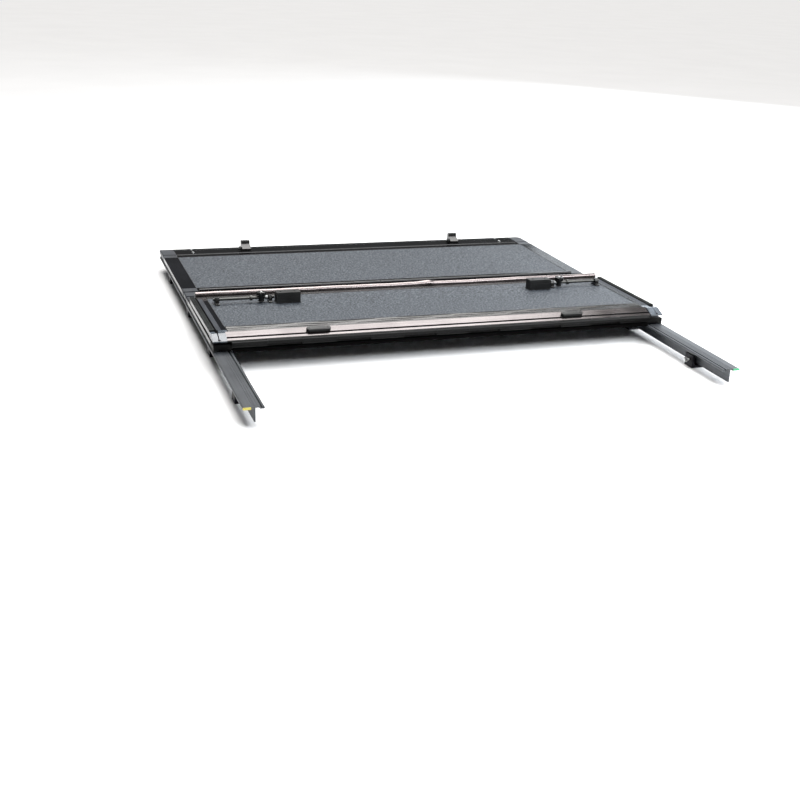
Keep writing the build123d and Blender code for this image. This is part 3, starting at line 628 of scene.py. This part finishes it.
def tailgate_ribs():
    """Two satin ribs along the free edge member, with a dark groove between."""
    piece = Piece()
    for y0, y1 in TAILGATE_RIBS_Y:
        section = [(y0, 0.3), (y0 + 0.8, -0.7), (y1 - 0.8, -0.7), (y1, 0.3)]
        piece.prism("X", section, -SKIN_HALF + 2.0, SKIN_HALF - 2.0)
    piece.finish("tailgate_ribs", "rib_frame_x", "rear_panel", "black_frame", bevel=0.25, folded=True)


side_bands()
hinge_member_ribs()
slope_faces()
nose_groove_shade()
cap_gap_shade()
tailgate_ribs()


# Bumper blocks and rest pads

def bumper_blocks():
    """Rubber blocks with a foot, a parting line and two screws in their tip."""
    width, depth, height = BLOCK_SIZE
    x0, x1 = BLOCK_X - width / 2, BLOCK_X + width / 2
    y0, y1 = BLOCK_Y - depth / 2, BLOCK_Y + depth / 2
    tip = SKIN_SINK - height
    middle = SKIN_SINK - height * 0.62
    body = Piece()
    body.box(x0, x1, y0, y1, tip, middle - 0.4)
    body.box(x0 + 0.6, x1 - 0.6, y0 + 0.6, y1 - 0.6, middle - 0.4, middle + 0.4)
    body.box(x0, x1, y0, y1, middle + 0.4, SKIN_SINK - 3.0)
    body.box(x0 - 1.5, x1 + 1.5, y0 - 1.5, y1 + 1.5, SKIN_SINK - 3.0, SKIN_SINK)
    body.other_side().finish("bumper_bodies", "black_rubber", "rear_panel", "black_rubber", bevel=2.6,
                             folded=True, replaces=("bumper_blocks",), steps=4)
    screws = Piece()
    for x in (x0 + 18.0, x1 - 18.0):
        dome_head(screws, (x, BLOCK_Y, tip + 0.6), 3.6, 1.6, outward=-1)
    screws.other_side().finish("bumper_screws", "black_plastic", "rear_panel", "black_plastic", folded=True)


def rest_pads():
    """Round-ended pads on the slope, ribbed across their face and held by two screws."""
    width, depth, height = PAD_SIZE
    y = (NOSE_Y + SLOPE_Y) / 2 - 4
    tilt = math.atan2(SLOPE_RISE, NOSE_Y - SLOPE_Y)
    place = Matrix.Translation((PAD_X, y, slope_level(y))) @ Matrix.Rotation(tilt, 4, "X")
    corner = depth / 2 - 0.5

    def loop(inset, level):
        points = []
        for centre_x, first in ((width / 2 - depth / 2, -90), (-width / 2 + depth / 2, 90)):
            for step in range(13):
                angle = math.radians(first + 15 * step)
                reach = corner - inset
                points.append((centre_x + reach * math.cos(angle), reach * math.sin(angle), level))
        return points

    pad = Piece()
    levels = [(0.0, 0.0), (0.0, -height + 3.0), (0.5, -height + 1.4), (1.6, -height + 0.4), (3.0, -height)]
    vertices = pad.rings([loop(inset, level) for inset, level in levels])
    for index in range(-3, 4):
        x = index * 6
        rib = [(x - 1.2, -height - 0.6), (x + 1.2, -height - 0.6), (x + 1.5, -height), (x - 1.5, -height)]
        vertices += pad.prism("Y", rib, -6.0, 6.0)
    pad.transform(vertices, place)
    pad.other_side().finish("rest_pad_bodies", "black_rubber", "rear_panel", "black_rubber",
                            folded=True, replaces=("rest_pads",))
    screws = Piece()
    for x in (-width / 2 + 11.0, width / 2 - 11.0):
        before = set(screws.mesh.verts)
        dome_head(screws, (x, 0, -height + 0.4), 2.6, 1.0, outward=-1)
        screws.transform([vertex for vertex in screws.mesh.verts if vertex not in before], place)
    screws.other_side().finish("rest_pad_screws", "black_plastic", "rear_panel", "black_plastic",
                               folded=True)


bumper_blocks()
rest_pads()


# Latches

def latch_guides(name, node, guide):
    """Posts for a latch rod, each with a bush and two screws in its foot."""
    x0, x1, half = guide
    tip = LATCH_Z - 9.0
    edge = [(half, SKIN_SINK), (half, -3.0), (13.0, -6.0), (10.5, LATCH_Z - 4.0), (6.0, tip)]
    outline = [(LATCH_Y - half, SKIN_SINK)] + [(LATCH_Y + reach, z) for reach, z in edge]
    outline += [(LATCH_Y - reach, z) for reach, z in edge[:0:-1]]
    post = Piece()
    post.prism("X", outline, x0, x1)
    post.other_side().finish(name + "_posts", "bracket_metal", "rear_panel", "bracket_metal", bevel=1.0,
                             folded=True, replaces=(node,))
    fittings = Piece()
    middle = (x0 + x1) / 2
    for side in (-1, 1):
        dome_head(fittings, (middle, LATCH_Y + side * (half - 4.5), -3.0), 2.6, 1.6, outward=-1)
        face = x0 if side < 0 else x1
        bush = [(0.0, 7.4), (1.2, 7.4), (1.6, 7.0), (1.6, ROD_R + 0.4), (0.0, ROD_R + 0.3)]
        fittings.turned("X", (face, LATCH_Y, LATCH_Z), [(side * at, r) for at, r in bush], 28)
    fittings.other_side().finish(name + "_fittings", "black_plastic", "rear_panel", "black_plastic",
                                 folded=True)


def latch_knob(side, sign):
    """Star knob on its neck, with a ferrule on the rod and a tilted metal lever on top."""
    body = f"{side}_latch"
    x = sign * KNOB_X

    def star(angle):
        return 1.0 + 0.11 * math.cos(6 * angle)

    knob = Piece()
    neck = [(-4.0, 10.6), (-12.0, 9.6), (-22.5, 10.4)]
    head = [(-24.0, 13.5), (-24.6, 15.0), (-26.5, 15.9), (-34.5, 15.9), (-36.4, 15.0), (-37.2, 12.6)]
    head += [(-37.5, 8.0)]
    knob.turned("Z", (x, LATCH_Y, 0.0), neck, 36)
    knob.turned("Z", (x, LATCH_Y, 0.0), head, 72, star)
    knob.finish(f"{side}_star_knob", "knob_plastic", body, "knob_plastic", folded=True,
                replaces=(f"{side}_latch_knob",))
    metal = Piece()
    metal.turned("Z", (x, LATCH_Y, -37.4), [(0.0, 5.4), (-0.9, 5.4), (-1.6, 4.4), (-1.8, 2.4)], 24)
    ferrule = [(0.0, 5.6), (0.6, 7.4), (4.0, 7.6), (4.6, 6.6)]
    ferrule += [(6.2, 6.6), (6.8, 7.6), (9.5, 7.4), (10.0, 5.6)]
    metal.turned("X", (x - sign * 11.5, LATCH_Y, LATCH_Z), [(-sign * at, r) for at, r in ferrule], 28)
    blade = [(-3.4, -8.0), (3.4, -8.0), (4.2, 6.0), (3.4, 15.0), (-3.4, 15.0), (-4.2, 6.0)]
    lean = Matrix.Translation((x + sign * 2.0, LATCH_Y - 1.0, -31.0))
    lean @= Matrix.Rotation(sign * math.radians(52), 4, "Y")
    vertices = metal.rings([[(along, across, level) for across, along in blade] for level in (-1.1, 1.1)])
    metal.transform(vertices, lean)
    metal.finish(f"{side}_knob_metal", "zinc_steel", body, "zinc_steel", bevel=0.5, folded=True)


latch_guides("outer_guide", "latch_outer_guides", OUTER_GUIDE)
latch_guides("inner_guide", "latch_inner_guides", INNER_GUIDE)
latch_knob("right", 1)
latch_knob("left", -1)


# Header: brackets and screws

def stack_brackets():
    """Rests for the folded stack: a ramp, a back stop, a foot and a knurled thumb screw."""
    y, half = BRACKET_Y, BRACKET_W / 2
    step, ramp_end, ramp_top, top = PANEL_T + 11.0, y + 28.0, PANEL_T + 25.0, PANEL_T + 38.0
    outline = [(y, PANEL_T), (y, step), (ramp_end, ramp_top), (ramp_end + 3, top - 2), (ramp_end + 6, top)]
    outline += [(y + 42, top), (y + 46, top - 4), (y + 46, PANEL_T)]
    screw_y, screw_z = y + 18.0, PANEL_T + 11.0
    collar = [(0.0, 4.0), (-2.0, 4.0), (-2.2, 6.4), (-3.0, 6.9), (-10.6, 6.9), (-11.6, 6.2), (-12.0, 4.4)]

    def knurl(angle):
        return 1.0 + 0.05 * math.cos(18 * angle)

    body, metal = Piece(), Piece()
    for x in (-BRACKET_X, BRACKET_X):
        body.prism("X", outline, x - half, x + half)
        body.box(x - half - 3.0, x + half + 3.0, y - 1.5, y + 48.0, PANEL_T - 0.2, PANEL_T + 2.4)
        body.turned("X", (x - half, screw_y, screw_z), collar, 72, knurl)
        metal.turned("X", (x - half - 12.0, screw_y, screw_z), [(0.0, 3.4), (-0.8, 3.2), (-1.2, 2.0)], 24)
        for across in (-11.0, 11.0):
            dome_head(metal, (x + across, y + 37.0, top - 0.2), 2.8, 1.6)
    body.finish("bracket_bodies", "bracket_metal", "frame", "bracket_metal", bevel=0.9,
                replaces=("stack_rest_brackets",))
    metal.finish("bracket_fasteners", "zinc_steel", "frame", "zinc_steel")


def header_screws():
    """Upright domed screws with washers, two near each corner."""
    piece = Piece()
    for x in (-SCREW_X, SCREW_X):
        for y, level in SCREW_PLACES:
            dome_head(piece, (x, y, level - 0.2), 4.6, 2.4)
    piece.finish("header_screw_heads", "zinc_steel", "frame", "zinc_steel", replaces=("header_screws",))


stack_brackets()
header_screws()


# Clamps

def threaded_shank(piece, start, y):
    """Shank along X with a helical thread."""
    length, steps, sides = 24.5, 80, 16
    rings = []
    for step in range(steps + 1):
        distance = 7.6 + length * step / steps
        ring = []
        for index in range(sides):
            angle = 2 * math.pi * index / sides
            wave = (distance / THREAD_PITCH + index / sides) % 1.0
            radius = 3.5 + 0.5 * abs(2 * wave - 1)
            across, up = radius * math.cos(angle), radius * math.sin(angle)
            ring.append((start + distance, y + across, CLAMP_SCREW_Z + up))
        rings.append(ring)
    piece.rings(rings)


def clamp_screws():
    """Hexagon head bolts with their thread, washer and swivel foot."""
    head = [(0.0, 6.4), (0.9, 7.9), (5.2, 7.9), (6.0, 7.2)]
    washer = [(6.0, 8.6), (6.2, 9.0), (7.4, 9.0), (7.6, 8.6)]
    foot = [(-6.0, 4.4), (-5.6, 6.6), (-3.4, 7.0), (-2.8, 8.6), (-2.2, 9.0), (-0.4, 9.0), (0.0, 8.6)]
    bolts, feet = Piece(), Piece()
    for y in CLAMP_YS:
        bolts.turned("X", (CLAMP_SCREW_X, y, CLAMP_SCREW_Z), head, 6)
        bolts.turned("X", (CLAMP_SCREW_X, y, CLAMP_SCREW_Z), washer, 32)
        threaded_shank(bolts, CLAMP_SCREW_X, y)
        feet.turned("X", (CLAMP_FOOT_X, y, CLAMP_SCREW_Z), foot, 32)
    bolts.other_side().finish("clamp_bolts", "zinc_steel", "frame", "zinc_steel", replaces=("clamp_screws",))
    feet.other_side().finish("clamp_swivel_feet", "black_plastic", "frame", "black_plastic",
                             replaces=("clamp_feet",))


clamp_screws()


# Studio: floor, lights and camera

def add_floor():
    made = Recipe("studio_floor", Roughness=0.8)
    made.colour(made.ramp(made.noise(1.3, 2.0), (0.3, (0.93, 0.93, 0.93, 1)), (0.7, (0.96, 0.96, 0.96, 1))))
    mesh = bpy.data.meshes.new("studio_floor")
    reach = 90.0
    corners = [(-reach, -reach, 0), (reach, -reach, 0), (reach, reach, 0), (-reach, reach, 0)]
    mesh.from_pydata(corners, [], [(0, 1, 2, 3)])
    mesh.materials.append(made.material)
    floor = bpy.data.objects.new("studio_floor", mesh)
    bpy.context.scene.collection.objects.link(floor)


def add_light(name, kind, place, target, energy, colour):
    """Light aimed from one point at another."""
    light = bpy.data.lights.new(name, kind)
    light.energy = energy
    light.color = colour
    lamp = bpy.data.objects.new(name, light)
    lamp.location = place
    lamp.rotation_euler = (Vector(target) - Vector(place)).to_track_quat("-Z", "Y").to_euler()
    bpy.context.scene.collection.objects.link(lamp)
    return light


def add_softbox(name, place, target, energy, size, colour=(1.0, 1.0, 1.0)):
    """Rectangular area light."""
    light = add_light(name, "AREA", place, target, energy, colour)
    light.shape = "RECTANGLE"
    light.size, light.size_y = size


def add_lights():
    sky = add_light("sky_light", "SUN", (0.11, 0.54, 0.86), (0.0, 0.0, 0.0), 2.9, (1.0, 0.985, 0.97))
    sky.angle = math.radians(42)
    add_softbox("top_light", (0.3, 0.1, 4.4), (0.3, 0.1, 0.0), 200.0, (4.6, 4.2))
    add_softbox("right_light", (6.0, 5.2, 2.2), (0.6, 0.2, 0.1), 130.0, (6.0, 3.5), (0.88, 0.94, 1.0))
    add_softbox("side_fill", (3.6, -0.6, 2.6), (0.5, 0.0, 0.1), 110.0, (2.0, 2.0), (0.93, 0.965, 1.0))
    add_softbox("rear_fill", (1.55, -2.2, 2.2), (0.6, -0.25, 0.1), 78.0, (2.4, 1.2), (0.95, 0.975, 1.0))


def add_world():
    """Even pale surroundings to the eye, with a weaker light of their own on the cover."""
    world = bpy.data.worlds.new("studio_world")
    world.use_nodes = True
    nodes, links = world.node_tree.nodes, world.node_tree.links
    background = nodes["Background"]
    background.inputs["Color"].default_value = (1.0, 1.0, 1.0, 1.0)
    path = nodes.new("ShaderNodeLightPath")
    strength = nodes.new("ShaderNodeMapRange")
    strength.inputs["To Min"].default_value = 0.1
    strength.inputs["To Max"].default_value = 1.0
    links.new(path.outputs["Is Camera Ray"], strength.inputs["Value"])
    links.new(strength.outputs["Result"], background.inputs["Strength"])
    bpy.context.scene.world = world


def add_camera():
    lens = bpy.data.cameras.new("photo_camera")
    lens.lens = 52.095
    lens.sensor_width = 36.0
    lens.shift_x = 0.0022
    lens.shift_y = 0.0057
    lens.clip_end = 400.0
    camera = bpy.data.objects.new("photo_camera", lens)
    camera.location = (-1.378, -3.8105, 1.248)
    camera.rotation_euler = (1.198088, -0.041612, -0.321315)
    bpy.context.scene.collection.objects.link(camera)
    bpy.context.scene.camera = camera


add_floor()
add_lights()
add_world()
add_camera()
bpy.context.scene.view_settings.view_transform = "Standard"
